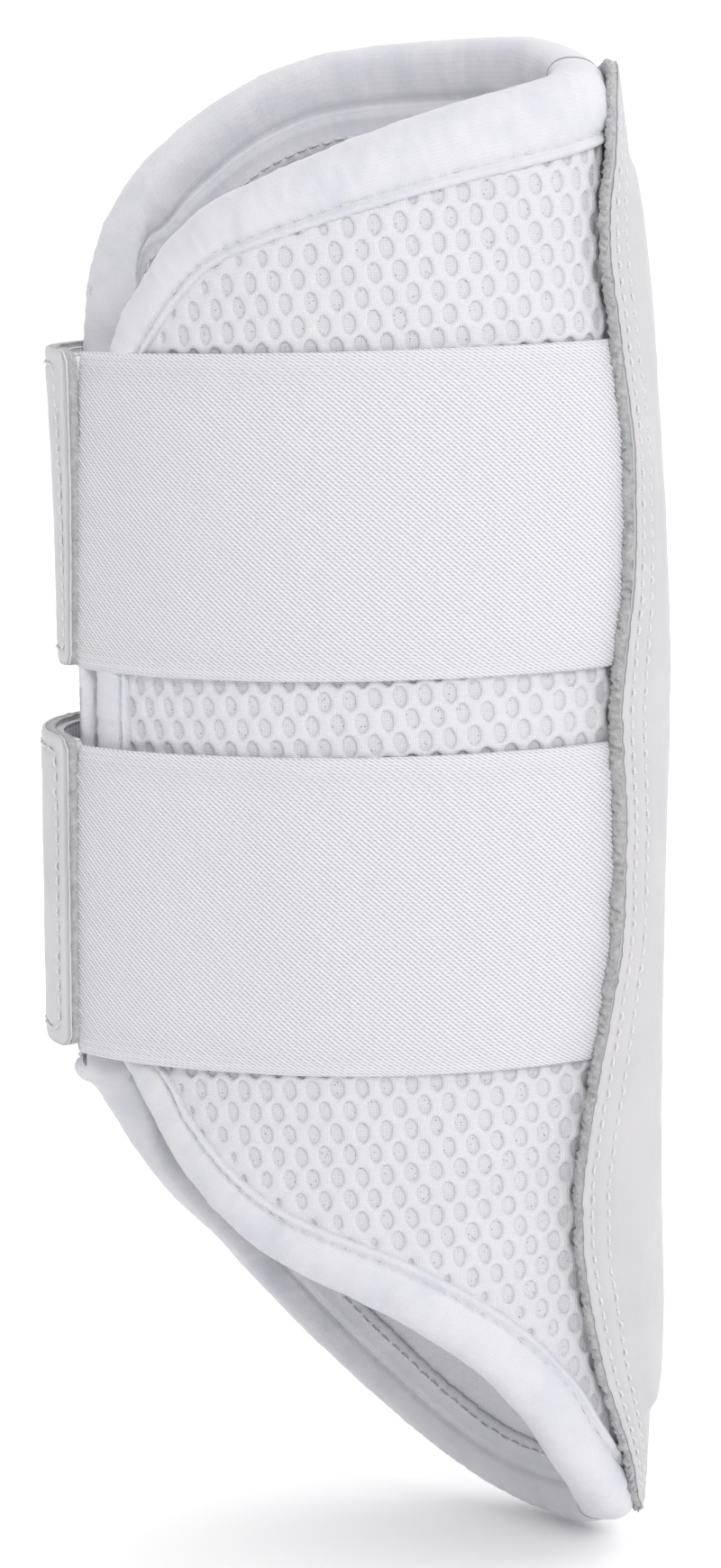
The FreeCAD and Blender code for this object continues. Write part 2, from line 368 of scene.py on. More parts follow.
def make_knit_look():
    look = Look("knit_floor", roughness=0.85, sheen=0.2, specular=0.2)
    cloth = look.weave()
    courses = look.wave(cloth, 0.55, "Y", 3.5)
    wales = look.wave(cloth, 0.62, "X", 5.0)
    loops = look.math("MULTIPLY", courses, wales)
    # Painted shade: near-black dots in some of the knit's pits stand in for the shadow inside its pin holes.
    dots = look.cells(cloth, 1.15)
    dark = look.ramp(dots, 0.10, 0.2, 1.0, 0.0)
    chance = look.ramp(look.noise(cloth, 0.9, 1), 0.46, 0.52)
    dark = look.math("MULTIPLY", dark, chance)
    look.bump(loops, 0.10, 0.8)
    look.bump(dark, -0.2, 0.6)
    floor = look.colour((0.0, (0.60, 0.595, 0.62)), (0.75, (0.69, 0.685, 0.71)), value=loops)
    # Mixes in the pits' painted shade, a near-black.
    look.base(look.mix(floor, (0.16, 0.16, 0.18), look.math("MULTIPLY", dark, 0.75)))
    return look.material


def make_binding_look():
    look = Look("binding_tape", roughness=0.66, sheen=0.35, specular=0.3)
    cloth = look.weave()
    ribs = look.wave(cloth, 0.62, "Y", 1.6, detail_scale=0.5)
    threads = look.wave(cloth, 0.36, "X", 2.2, detail_scale=1.5)
    fuzz = look.noise(cloth, 1.8, 4)
    look.bump(ribs, 0.02, 0.4)
    look.bump(threads, 0.05, 0.6)
    look.bump(fuzz, 0.08, 0.4)
    shade = look.math("ADD", look.math("MULTIPLY", ribs, 0.25), look.math("MULTIPLY", fuzz, 0.75))
    tape = look.colour((0.15, (0.61, 0.605, 0.64)), (0.6, (0.66, 0.655, 0.685)), value=shade)
    look.base(soiled(look, tape, (0.575, 0.58, 0.645), 10))
    return look.material


def make_elastic_look():
    look = Look("elastic_rib", roughness=0.7, sheen=0.3, specular=0.25)
    cloth = look.weave()
    segments = look.wave(cloth, 0.62, "Y", 1.0)
    fuzz = look.noise(cloth, 2.4, 4)
    look.bump(segments, 0.05, 0.6)
    look.bump(fuzz, 0.05, 0.3)
    shade = look.math("ADD", look.math("MULTIPLY", segments, 0.45), look.math("MULTIPLY", fuzz, 0.55))
    groove = look.wave(look.weave(), RIB_PITCH, "X")
    shade = look.math("ADD", look.math("MULTIPLY", shade, 0.5), look.math("MULTIPLY", groove, 0.5))
    yarn = look.colour((0.15, (0.44, 0.435, 0.46)), (0.62, (0.715, 0.71, 0.74)), value=shade)
    look.base(yarn)
    return look.material


def make_leather_look(name, clean, tinge):
    look = Look(name, roughness=0.5, specular=0.38, coat=0.06)
    place = look.space()
    pores = look.cells(place, 1.1)
    creases = look.cells(place, 0.55, "DISTANCE_TO_EDGE")
    wear = look.noise(place, 0.06, 5)
    look.bump(look.ramp(creases, 0.0, 0.18), 0.035, 0.5)
    look.bump(pores, 0.03, 0.4)
    look.bump(wear, 0.3, 0.25)
    look.base(look.mix(clean, tinge, look.ramp(wear, 0.35, 0.72)))
    look.rough(look.ramp(look.noise(place, 0.25, 4), 0.3, 0.7, 0.42, 0.6))
    return look.material


def make_felt_look(name, dark, light, sheen=0.4):
    look = Look(name, roughness=0.95, sheen=sheen, specular=0.1)
    place = look.space()
    fibre = look.noise(place, 3.2, 6, 0.7)
    clump = look.noise(place, 0.7, 3)
    look.bump(fibre, 0.35, 0.9)
    look.bump(clump, 0.5, 0.5)
    both = look.math("ADD", look.math("MULTIPLY", fibre, 0.6), look.math("MULTIPLY", clump, 0.4))
    look.base(look.colour((0.34, dark), (0.62, light), value=both))
    return look.material


def make_hook_look(name, pitch, dark, light):
    look = Look(name, roughness=0.6, specular=0.35, sheen=0.1)
    cloth = look.weave()
    rows = look.math("MULTIPLY", look.wave(cloth, pitch, "X"), look.wave(cloth, pitch * 0.8, "Y", 0.6))
    fuzz = look.noise(cloth, 2.2, 4)
    look.bump(rows, 0.35, 0.9)
    look.bump(fuzz, 0.25, 0.5)
    shade = look.math("ADD", look.math("MULTIPLY", rows, 0.5), look.math("MULTIPLY", fuzz, 0.5))
    look.base(look.colour((0.15, dark), (0.6, light), value=shade))
    return look.material


def make_lining_look():
    look = Look("lining_jersey", roughness=0.85, sheen=0.3, specular=0.2)
    cloth = look.weave()
    stitches = look.math("MULTIPLY", look.wave(cloth, 0.7, "X", 1.0), look.wave(cloth, 0.55, "Y", 1.2))
    fuzz = look.noise(cloth, 1.6, 5)
    look.bump(stitches, 0.09, 0.7)
    look.bump(fuzz, 0.12, 0.5)
    shade = look.math("ADD", look.math("MULTIPLY", stitches, 0.4), look.math("MULTIPLY", fuzz, 0.6))
    look.base(look.colour((0.2, (0.62, 0.62, 0.665)), (0.65, (0.74, 0.74, 0.78)), value=shade))
    return look.material


def make_thread_look():
    look = Look("sewing_thread", roughness=0.5, sheen=0.25, specular=0.4)
    place = look.space()
    twist = look.wave(place, 0.32, "DIAGONAL", 0.8)
    look.bump(twist, 0.08, 0.8)
    look.base(look.colour((0.1, (0.56, 0.56, 0.58)), (0.7, (0.74, 0.74, 0.76)), value=twist))
    return look.material


RIB_PITCH, RIB_LEAN, RIB_HEIGHT = 1.2, 1.15, 0.16
NET, KNIT, BINDING, ELASTIC = make_net_look(), make_knit_look(), make_binding_look(), make_elastic_look()
LINING, THREAD = make_lining_look(), make_thread_look()
GUARD_PU = make_leather_look("guard_leather", (0.535, 0.525, 0.535), (0.495, 0.49, 0.505))
TAB_PU = make_leather_look("tab_leather", (0.63, 0.62, 0.635), (0.575, 0.57, 0.585))
FELT = make_felt_look("cut_felt", (0.33, 0.33, 0.335), (0.60, 0.605, 0.605))
HOOK = make_hook_look("hook_tape", 1.1, (0.26, 0.26, 0.28), (0.55, 0.55, 0.58))
LOOP = make_felt_look("loop_pile", (0.44, 0.44, 0.47), (0.64, 0.64, 0.67), 0.6)


def bend_near(made):
    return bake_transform(made)


def bend_far(made):
    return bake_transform(made)


# ---------------------------------------------------------------- the panels
PITCH, ROW_GAP, ROW_RISE = 4.95, 4.8, 0.09
HOLE_WIDTH, HOLE_HEIGHT, HOLE_TILT = 2.45, 4.1, math.radians(9)
SIDES_PER_EDGE = 3
# Rings of a net cell from its outline to its hole: the share of the way, and how deep they lie.
NET_RINGS = ((0.0, 0.0), (0.42, -0.04), (0.78, -0.2), (0.97, -0.52), (1.02, -0.95))
NET_MIDDLE = 85.0                               # girth that the net's lattice is laid out from
RIM_CLEAR, RIM_FADE, SMALLEST_HOLE = 12.0, 3.5, 0.35    # holes shrink to this share near a rim
UNDER, UNDER_SQUARE = 5.0, 3.6                  # how far the net stops from a rim, upright and square to it


def net(name, side, low, high, s_from, join):
    """Knitted net with real oval holes in staggered rows. low and high give its rims by girth."""
    a = np.array([PITCH, PITCH * ROW_RISE])
    b = np.array([PITCH / 2, ROW_GAP])
    corners = []
    around = [a, b, b - a, -a, -b, a - b]
    for k in range(6):
        p, q = around[k], around[(k + 1) % 6]
        corners.append(np.linalg.solve(np.array([p, q]) * 2, np.array([p @ p, q @ q])))
    outline = np.array([corners[k] + (corners[(k + 1) % 6] - corners[k]) * i / SIDES_PER_EDGE
                        for k in range(6) for i in range(SIDES_PER_EDGE)])
    angle = np.arctan2(outline[:, 1], outline[:, 0])
    count = len(outline)
    i, j = np.meshgrid(np.arange(-60, 61), np.arange(-40, 41))
    centres = np.stack([NET_MIDDLE + (i + j / 2 - j // 2) * PITCH,
                        (i - j // 2) * PITCH * ROW_RISE + j * ROW_GAP], -1).reshape(-1, 2)
    girth, height = centres.T
    centres = centres[(girth > s_from) & (girth < half_girth(height) + join - 3)
                      & (height > low(girth) + UNDER) & (height < high(girth) - UNDER)]
    girth, height = centres.T
    to_rim = np.min([abs(rim(girth) - height) / np.hypot(1, (rim(girth + 1) - rim(girth - 1)) / 2)
                     for rim in (low, high)], axis=0)
    centres, to_rim = centres[to_rim > UNDER_SQUARE], to_rim[to_rim > UNDER_SQUARE]
    open_share = SMALLEST_HOLE + (1 - SMALLEST_HOLE) * step((to_rim - RIM_CLEAR) / RIM_FADE)
    jitter = RNG.normal(size=(len(centres), 5)) * [0.07, 0.07, 0.05, 0.08, 0.05]
    tilt = HOLE_TILT + jitter[:, 4]
    half_w = (HOLE_WIDTH / 2 + jitter[:, 2]) * open_share
    half_h = (HOLE_HEIGHT / 2 + jitter[:, 3]) * open_share
    local = angle[None] - tilt[:, None]
    reach = 1 / np.sqrt((np.cos(local) / half_w[:, None]) ** 2 + (np.sin(local) / half_h[:, None]) ** 2)
    hole = np.stack([np.cos(angle) * reach, np.sin(angle) * reach], -1) + jitter[:, None, :2]
    rings = [outline[None] * (1 - share) + hole * share for share, _ in NET_RINGS]
    flat = np.stack(rings, 1) + centres[:, None, None]
    depth = np.array([d for _, d in NET_RINGS])[None, :, None] + noise(flat, 3.1, 3, 2) * 0.07
    flat, depth = flat.reshape(-1, 2), depth.reshape(-1)
    index = np.arange(len(flat)).reshape(len(centres), len(NET_RINGS), count)
    nxt = np.roll(index, -1, axis=2)
    quads = np.stack([index[:, :-1], nxt[:, :-1], nxt[:, 1:], index[:, 1:]], -1).reshape(-1, 4)
    keys = np.round(flat * 50).astype(int)          # neighbouring cells share their outlines' points
    keys = keys[:, 0] * 1000003 + keys[:, 1]
    inner = np.ones((len(centres), len(NET_RINGS), count), bool)
    inner[:, 0] = False
    inner = inner.reshape(-1)
    keys[inner] = np.arange(len(keys))[inner] + 10 ** 12
    _, first, inverse = np.unique(keys, return_index=True, return_inverse=True)
    quads = inverse.reshape(-1)[quads]
    flat, depth = flat[first], depth[first]
    where = surface(side * flat[:, 0], flat[:, 1], depth)
    return piece(name, where, quads if side > 0 else quads[:, ::-1], NET, np.column_stack([flat, depth]))


def rim_ends(high, join):
    """Girths where a panel's top and bottom rims end."""
    return half_girth(high(RIM_Z)) + join, half_girth(0.0) + join


SHELL_CELL, CROWN_REACH = 2.6, 12.0


def shell(name, side, low, high, s_from, join, outer, inner, material, inset, swell=0.0, seed=1):
    """A closed layer of a panel between two offsets, with rounded edges and a soft, uneven crown."""
    top_end, bottom_end = rim_ends(high, join)
    share = np.linspace(0, 1, int((bottom_end - s_from) / SHELL_CELL))
    s_top, s_bottom = (s_from + share * (end - s_from) for end in (top_end, bottom_end))
    bottom, top = low(s_bottom) + inset, high(s_top) - inset
    columns, rows = len(share), int((top - bottom).max() / SHELL_CELL)
    v = np.linspace(0, 1, rows)[:, None]
    z = bottom[None] * (1 - v) + top[None] * v
    s_end = half_girth(z) + join
    s2 = s_from + share[None] * (s_end - s_from)
    edge = np.minimum(np.minimum(z - bottom[None], top[None] - z),
                      np.minimum(s2 - s_from, s_end - s2))
    field = noise(np.stack([s2, z], -1), 26, seed)
    puff = swell * step(edge / CROWN_REACH) * (0.7 + 0.5 * field)
    middle, half = (outer + inner) / 2, (outer - inner) / 2
    rounding = np.sqrt(np.clip(1 - (1 - np.clip(edge / half, 0, 1)) ** 2, 0.02, 1))
    faces_off = middle + half * rounding, middle - half * rounding - puff
    points = np.concatenate([surface(side * s2, z, off).reshape(-1, 3) for off in faces_off])
    weave = np.concatenate([np.stack([s2, z, off], -1).reshape(-1, 3) for off in faces_off])
    return piece(name, points, slab_faces(rows, columns, flip=side > 0), material, weave)


def resampled(points, gap):
    """Points an even distance apart along a line, rounded a little at its corners."""
    points = np.array(points, float)
    along = np.concatenate([[0], np.cumsum(np.linalg.norm(np.diff(points, axis=0), axis=1))])
    at = np.linspace(0, along[-1], int(along[-1] / gap) + 1)
    line = np.stack([np.interp(at, along, points[:, k]) for k in range(points.shape[1])], 1)
    for _ in range(6):
        line[1:-1] = (line[:-2] + 2 * line[1:-1] + line[2:]) / 4
    return line


def inward(line):
    """Unit vectors to the left of a line in the cloth's plane."""
    tangent = np.gradient(line, axis=0)
    tangent /= np.linalg.norm(tangent, axis=1)[:, None]
    return np.stack([-tangent[:, 1], tangent[:, 0]], 1)


def rim_line(low, high, s_front, join):
    """A panel's rim in (girth, height): the top from the back, then the front, then the bottom."""
    top, bottom = (np.linspace(s_front, end, RIM_SAMPLES) for end in rim_ends(high, join + JOIN_LAP))
    top, bottom = np.stack([top, high(top)], 1)[::-1], np.stack([bottom, low(bottom)], 1)
    return resampled(np.concatenate([top, bottom]), 0.9)


# The binding's section, from its outer sewn edge over the rim to its inner one: the share of the
# tape's width from the rim, the offset, and whether it can puff.
BINDING_PROFILE = ((1.0, -0.6, 0), (1.0, 0.42, 0), (0.975, 0.95, 0), (0.88, 1.05, 1), (0.74, 1.35, 1),
                   (0.58, 1.7, 1), (0.42, 1.75, 1), (0.26, 1.4, 1), (0.12, 0.6, 1), (0.03, -0.6, 1),
                   (-0.02, -2.0, 1), (-0.04, -3.4, 1), (-0.045, -4.5, 1), (-0.04, -5.6, 1),
                   (-0.02, -7.0, 1), (0.03, -8.4, 1), (0.12, -9.5, 1), (0.26, -10.1, 1), (0.42, -10.3, 1),
                   (0.6, -10.2, 1), (0.78, -9.9, 1), (0.92, -9.6, 0), (0.98, -9.3, 0), (1.0, -8.6, 0),
                   (1.0, -7.6, 0))


def rim_width(line, widths, thin):
    """How wide the binding lies along a rim: by girth on the slopes, thin on the upright front edge."""
    tangent = np.abs(np.gradient(line, axis=0))
    upright = step((tangent[:, 1] / np.maximum(np.hypot(*tangent.T), 1e-9) - 0.80) / 0.19)
    return widths(line[:, 0]) * (1 - upright) + thin * upright


STITCH = 3.1
SEWN_AT, SEWN_WIDTH, RIDGE_AT, RIDGE_WIDTH = 0.83, 0.045, 0.93, 0.04     # as shares of the tape's width
PUFF, PUFF_FADE = 0.30, 14.0
TUCK, TUCK_REACH = 0.1, 2.2         # the near side's ends go under the far side's
RIM_MIDDLE, RIM_ROUND = -4.4, 4.0   # offset in the rim's middle, and how soon the tape faces in or out


def binding(name, side, line, width):
    """Edge tape folded over a rim, sewn near its edges and puffed between."""
    profile = np.array(BINDING_PROFILE)
    fine = np.linspace(0, len(profile) - 1, 58)
    across, off, free = (np.interp(fine, np.arange(len(profile)), profile[:, k]) for k in range(3))
    normal = inward(line)
    spot = line[:, None] + normal[:, None] * (across[None, :, None] * width[:, None, None])
    lie = np.broadcast_to(off[None], spot.shape[:2]).copy()
    along = np.arange(len(line)) * np.linalg.norm(np.diff(line[:2], axis=0))
    place = np.stack(np.broadcast_arrays(along[:, None], (off * 1.3 + across * 8)[None]), -1)
    ripple = noise(place * [1, 0.5], 9, 5) * PUFF + noise(place * [1, 0.25], 3.6, 6, 2) * PUFF * 0.45
    from_end = np.minimum(along, along[-1] - along)[:, None]
    ripple = ripple * step(from_end / PUFF_FADE)
    pull = 0.75 + 0.2 * np.cos(along * 2 * math.pi / STITCH)[:, None]
    sewn = np.exp(-((across - SEWN_AT) / SEWN_WIDTH) ** 2)[None] * pull
    sewn = sewn - 0.35 * np.exp(-((across - RIDGE_AT) / RIDGE_WIDTH) ** 2)[None]
    from_middle = off - RIM_MIDDLE
    outward = np.sign(from_middle)[None] * np.minimum(1, np.abs(from_middle) / RIM_ROUND)[None]
    tuck = TUCK * (side > 0) * (1 - step(from_end / TUCK_REACH))
    lie = lie + outward * (ripple * free[None] - sewn - tuck)
    spot = spot - normal[:, None] * ((1 - np.abs(outward)) * ripple * 0.6)[..., None]
    points = surface(side * spot[..., 0], spot[..., 1], lie).reshape(-1, 3)
    distance = np.concatenate([[0], np.cumsum(np.hypot(np.diff(across) * width.mean(), np.diff(off)))])
    weave = np.stack(np.broadcast_arrays(along[:, None], distance[None], lie), -1).reshape(-1, 3)
    return piece(name, points, capped_tube_faces(*spot.shape[:2], flip=side < 0), BINDING, weave)


def stitches(name, side, lines, off, share=0.72, radius=0.3, lift=0.34, from_back=False):
    """Rows of sewing stitches, each a short bowed thread. lines are (girth, height[, offset]) paths."""
    parts = []
    for line in lines:
        line = np.array(line, float)
        along = np.concatenate([[0], np.cumsum(np.linalg.norm(np.diff(line[:, :2], axis=0), axis=1))])
        for start in np.arange(STITCH * 0.3, along[-1] - STITCH, STITCH):
            begin = start + RNG.normal() * 0.08
            at = begin + np.linspace(0, share * STITCH, 7)
            s, z = (np.interp(at, along, line[:, k]) for k in (0, 1))
            base = np.interp(at, along, line[:, 2]) if line.shape[1] > 2 else off
            bow = np.sin(np.linspace(0, math.pi, 7))
            sway = RNG.normal() * 0.12 * bow
            tangent = np.array([s[-1] - s[0], z[-1] - z[0]])
            tangent /= np.linalg.norm(tangent)
            s, z = s - tangent[1] * sway, z + tangent[0] * sway
            height = base - 0.25 + lift * bow ** 0.6 * (1 + RNG.normal() * 0.08)
            girth = s_from_back(s, z) if from_back else side * s
            path = surface(girth, z, height)
            out = surface(girth, z, height + 1) - path
            parts.append(tube(path, out, radius * (0.72 + 0.28 * bow), 7))
    return piece(name, *joined(parts), THREAD)


# The hem tape's section: distance past the binding's inner edge, and offset.
HEM_PROFILE = ((-1.5, -10.0), (0.5, -9.9), (2.4, -9.7), (3.6, -9.95), (4.6, -9.8), (5.2, -9.5), (5.4, -9.1),
               (5.2, -8.6), (4.6, -8.1), (2.4, -8.0), (-1.5, -8.0))
HEM_SEWN_AT = 3.5


def hem_tape(name, side, line, width):
    """The flat tape sewn over the lining just inside the binding, with a slightly wavy free edge."""
    across, off = np.array(HEM_PROFILE).T
    normal = inward(line)
    along = np.arange(len(line)) * np.linalg.norm(np.diff(line[:2], axis=0))
    wave = noise(np.stack([along, 0 * along], -1), 7, 9) * 0.3
    reach = width[:, None] + across[None] + wave[:, None] * (across > 4)
    spot = line[:, None] + normal[:, None] * reach[..., None]
    ripple = noise(np.stack(np.broadcast_arrays(along[:, None], across[None]), -1), 5, 10) * 0.16
    lie = off[None] + ripple * (off < -8.6)[None]
    points = surface(side * spot[..., 0], spot[..., 1], lie).reshape(-1, 3)
    weave = np.stack(np.broadcast_arrays(along[:, None], across[None], lie), -1).reshape(-1, 3)
    made = piece(name, points, capped_tube_faces(*spot.shape[:2], flip=side < 0), BINDING, weave)
    return made, line + normal * (width + HEM_SEWN_AT)[:, None]


JOIN_FOOT, JOIN_FOOT_REACH = 0.8, 40.0


def panel(name, side, low, high, s_front, join, widths, thin, foot, bend):
    """One padded side of the shell: net, knit over foam, lining and a bound rim with its stitching.

    widths are the binding's by girth, thin its width down the front, and foot its share of that at
    the bottom. Both sides' feet come to the same share, JOIN_FOOT, where they meet.
    """
    line = rim_line(low, high, s_front, join)
    to_back = step((half_girth(line[:, 1]) - line[:, 0]) / JOIN_FOOT_REACH)
    foot_share = np.where(line[:, 1] < 0, JOIN_FOOT + (foot - JOIN_FOOT) * to_back, 1.0)
    width = rim_width(line, widths, thin) * foot_share
    made = {
        "net": net(f"{name}_net", side, low, high, s_front + thin / 2, join),
        "pad": shell(f"{name}_pad", side, low, high, s_front + 0.8, join, -0.82, -7.0, KNIT, 0.8),
        "lining": shell(f"{name}_lining_jersey", side, low, high, s_front + 0.9, join + 0.5,
                        -7.1, -8.3, LINING, 1.0, swell=0.45, seed=4),
        "binding": binding(f"{name}_binding", side, line, width),
    }
    made["hem"], hem_line = hem_tape(f"{name}_hem", side, line, width)
    normal = inward(line)
    outer, faint = (line + normal * (width * k)[:, None] for k in (SEWN_AT, 0.985))
    made["stitching"] = stitches(f"{name}_stitching", side, [outer], 0.42, radius=0.24)
    made["second_stitching"] = stitches(f"{name}_second_stitching", side, [faint], 0.45, share=0.5,
                                        radius=0.17, lift=0.3)
    made["hem_stitching"] = stitches(f"{name}_hem_stitching", side, [hem_line], -9.7, radius=0.28,
                                     lift=-0.42)
    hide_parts(f"{name}_mesh", "rear_mesh")
    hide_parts(f"{name}_foam", "rear_foam")
    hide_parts(f"{name}_lining", "rear_lining")
    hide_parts(f"{name}_top_binding", f"{name}_front_binding", f"{name}_bottom_binding",
                "rear_top_binding", "rear_bottom_binding")
    for key, one in made.items():
        bend(one)


RIM_WIDTHS = smooth([(22, 10.2), (34, 10.6), (50, 11.4), (75, 13.0), (100, 14.0), (150, 14.0)])
FAR_WIDTHS = smooth([(-26, 9.0), (0, 9.5), (12, 11.5), (40, 13.0), (100, 14.0), (150, 14.0)])
panel("near", 1, NEAR_BOTTOM, NEAR_TOP, NEAR_FRONT_S, JOIN, RIM_WIDTHS, 10.6, 0.9, bend_near)
panel("far", -1, FAR_BOTTOM, FAR_TOP, FAR_FRONT_S, -JOIN, FAR_WIDTHS, 3.6, 0.68, bend_far)


# ---------------------------------------------------------------- the guard
# Edges as girth from the back's middle line, by height, and how high the skin stands over the oval.
GUARD_NEAR = smooth([(-153, 2.05), (-139, 6.3), (-126, 11.9), (-102, 18.2), (-80, 20.6), (-55, 17.7),
                     (-26, 13.3), (0, 12.9), (20, 14.0), (46, 10.2), (72, 8.3), (93, 9.6), (113, 10.0),
                     (134, 3.4), (149, -1.0)])
GUARD_FAR = smooth([(-153, -16), (-139, -20.8), (-126, -28.7), (-102, -38.4), (-80, -41.5), (-55, -37.6),
                    (-26, -30.8), (0, -30.2), (20, -32.2), (46, -27.3), (72, -25.6), (93, -29.1), (113, -30.7),
                    (134, -19.5), (149, -12)])
DOME_INSET_NEAR, DOME_INSET_FAR = 6.6, 7.6
DOME_TOP, DOME_BOTTOM = 128.0, -130.0
CREST = smooth([(-153, 3.6), (-138, 4.7), (-130, 6.1), (-115, 6.9), (-82, 6.2), (-60, 6.0), (-38, 6.0),
                (-16, 6.2), (6, 6.5), (27, 6.7), (72, 6.7), (104, 6.7), (115, 6.4), (126, 5.6), (137, 4.6),
                (149, 4.2)])
FLANGE = smooth([(-153, 3.6), (-138, 4.2), (-115, 4.9), (110, 4.9), (130, 4.5), (149, 4.2)])
GUARD_LOW, GUARD_HIGH = -152.8, 145.3
END_ROUNDING = 9.0
STITCH_ROWS = (2.1, 5.2)            # distances from the guard's edge
GUARD_COLUMNS, GUARD_CELL = 80, 1.0
GUARD_SKIN, GUARD_LOWEST = 0.75, 2.2
FELT_FOOT = 1.45


def guard_edges(z):
    """Near and far edge of the guard at a height, with rounded ends."""
    near_q, far_q = GUARD_NEAR(z), GUARD_FAR(z)
    middle, half = (near_q + far_q) / 2, (near_q - far_q) / 2
    from_end = np.minimum(z - GUARD_LOW, GUARD_HIGH - z)
    half = half * np.sqrt(np.clip(1 - (1 - np.clip(from_end / END_ROUNDING, 0, 1)) ** 2, 0.0009, 1))
    place = np.stack([z, z * 0], -1)
    rough = noise(place, 5.5, 21) * 0.22 + noise(place, 1.7, 22) * 0.10
    return middle + half + rough, middle - half - rough


def guard_height(q, z, near_q, far_q):
    """Outer offset of the guard's skin."""
    inside = np.stack([near_q - DOME_INSET_NEAR - q, q - far_q - DOME_INSET_FAR,
                       (DOME_TOP - z) * 0.9, (z - DOME_BOTTOM) * 0.9])
    depth = -np.log(np.exp(-np.clip(inside, -20, 40) / 1.1).sum(0)) * 1.1
    dome = step(depth / 3.4)
    crown = 1 - np.exp(-np.clip(depth, 0, None) / 9)
    flange = FLANGE(z)
    edge = np.minimum(near_q - q, q - far_q)
    roll = -0.4 * np.exp(-np.clip(edge, 0, None) / 0.5)
    pucker = 0.10 * noise(np.stack([q, z], -1), 11, 31)
    sewn = sum(np.exp(-((edge - at) / 0.8) ** 2) for at in STITCH_ROWS) * -0.65
    return flange + (CREST(z) - flange) * (0.78 * dome + 0.35 * crown) + roll + pucker + sewn * (1 - dome)


def make_guard():
    """The guard's moulded skin, its felt and its two rows of stitching."""
    z = np.arange(GUARD_LOW, GUARD_HIGH + 0.01, GUARD_CELL)
    near_q, far_q = guard_edges(z)
    u = np.linspace(0, 1, GUARD_COLUMNS)
    u = 0.5 - 0.5 * np.cos(np.pi * u) * (0.8 + 0.2 * np.abs(np.cos(np.pi * u)))
    q = near_q[:, None] * (1 - u) + far_q[:, None] * u
    z2 = np.broadcast_to(z[:, None], q.shape)
    high = guard_height(q, z2, near_q[:, None], far_q[:, None])
    under = np.maximum(high - GUARD_SKIN, GUARD_LOWEST)
    points = np.concatenate([surface(s_from_back(q, z2), z2, off).reshape(-1, 3) for off in (high, under)])
    weave = np.stack([q, z2, high], -1).reshape(-1, 3)
    faces = slab_faces(*q.shape, flip=True)
    skin = piece("guard_skin", points, faces, GUARD_PU, np.concatenate([weave, weave]))
    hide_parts("guard_shell", "guard_insert")
    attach(skin, "guard")
    guard_felt()
    for row, inset in zip(("outer", "inner"), STITCH_ROWS):
        lines = []
        zs = np.arange(GUARD_LOW + 6, GUARD_HIGH - 5, 0.8)
        n_q, f_q = guard_edges(zs)
        for edge, sign in ((n_q, -1), (f_q, 1)):
            path = np.stack([smoothed(edge + sign * inset), zs], -1)
            base = guard_height(path[:, 0], zs, n_q, f_q)
            lines.append(np.column_stack([path, base]))
        made = stitches(f"guard_stitching_{row}", 1, lines, 0, radius=0.33, lift=0.5, from_back=True)
        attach(made, "guard")


def smoothed(values):
    """A row of values with its small roughness taken out."""
    kernel = np.hanning(15)
    return np.convolve(np.pad(values, 7, mode="edge"), kernel / kernel.sum(), mode="valid")


# The felt's section round the guard's edge: distance inside the edge, and its share of the way up.
FELT_PROFILE = ((5.0, 0.78), (1.2, 0.80), (0.2, 0.86), (-0.25, 0.72), (-0.42, 0.5), (-0.38, 0.26),
                (-0.15, 0.06), (0.8, 0.0), (3.0, -0.02), (5.5, 0.0))


def guard_felt():
    """The felt backing that shows as the guard's raw cut edge."""
    z = np.arange(GUARD_LOW, GUARD_HIGH + 0.01, 0.6)
    n_q, f_q = guard_edges(z)
    ring = np.concatenate([np.stack([n_q, z], -1), np.stack([f_q, z], -1)[::-1]])
    ring = np.concatenate([ring, ring[:1]])
    along = np.concatenate([[0], np.cumsum(np.linalg.norm(np.diff(ring, axis=0), axis=1))])
    at = np.arange(0, along[-1], 0.55)
    ring = np.stack([np.interp(at, along, ring[:, k]) for k in (0, 1)], 1)
    tangent = np.roll(ring, -2, 0) - np.roll(ring, 2, 0)
    tangent /= np.linalg.norm(tangent, axis=1)[:, None]
    inner = np.stack([-tangent[:, 1], tangent[:, 0]], 1)
    inset, level = np.array(FELT_PROFILE).T
    spot = ring[:, None] + inner[:, None] * inset[None, :, None]
    inner_z = np.clip(spot[..., 1], GUARD_LOW, GUARD_HIGH)
    edge_n, edge_f = guard_edges(inner_z)
    top = guard_height(np.clip(spot[..., 0], edge_f, edge_n), inner_z, edge_n, edge_f)
    off = FELT_FOOT + (np.minimum(top, FLANGE(spot[..., 1])) - FELT_FOOT) * level[None]
    fuzz = noise(np.stack([np.broadcast_to(at[:, None], off.shape), off * 2 + inset[None]], -1), 1.6, 41, 3)
    lump = noise(np.stack([at, 0 * at], -1), 6.5, 42, 2)[:, None]
    spot = spot + inner[:, None] * ((fuzz * 0.42 + lump * 0.35) * (inset[None] < 1))[..., None]
    points = surface(s_from_back(spot[..., 0], spot[..., 1]), spot[..., 1], off + fuzz * 0.14)
    faces = grid_faces(*spot.shape[:2], wrap_rows=True, wrap_columns=True)
    made = piece("guard_felt", points.reshape(-1, 3), faces, FELT)
    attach(made, "guard")


make_guard()


# ---------------------------------------------------------------- the elastics and tabs
STRAP_SLOPE = 0.034
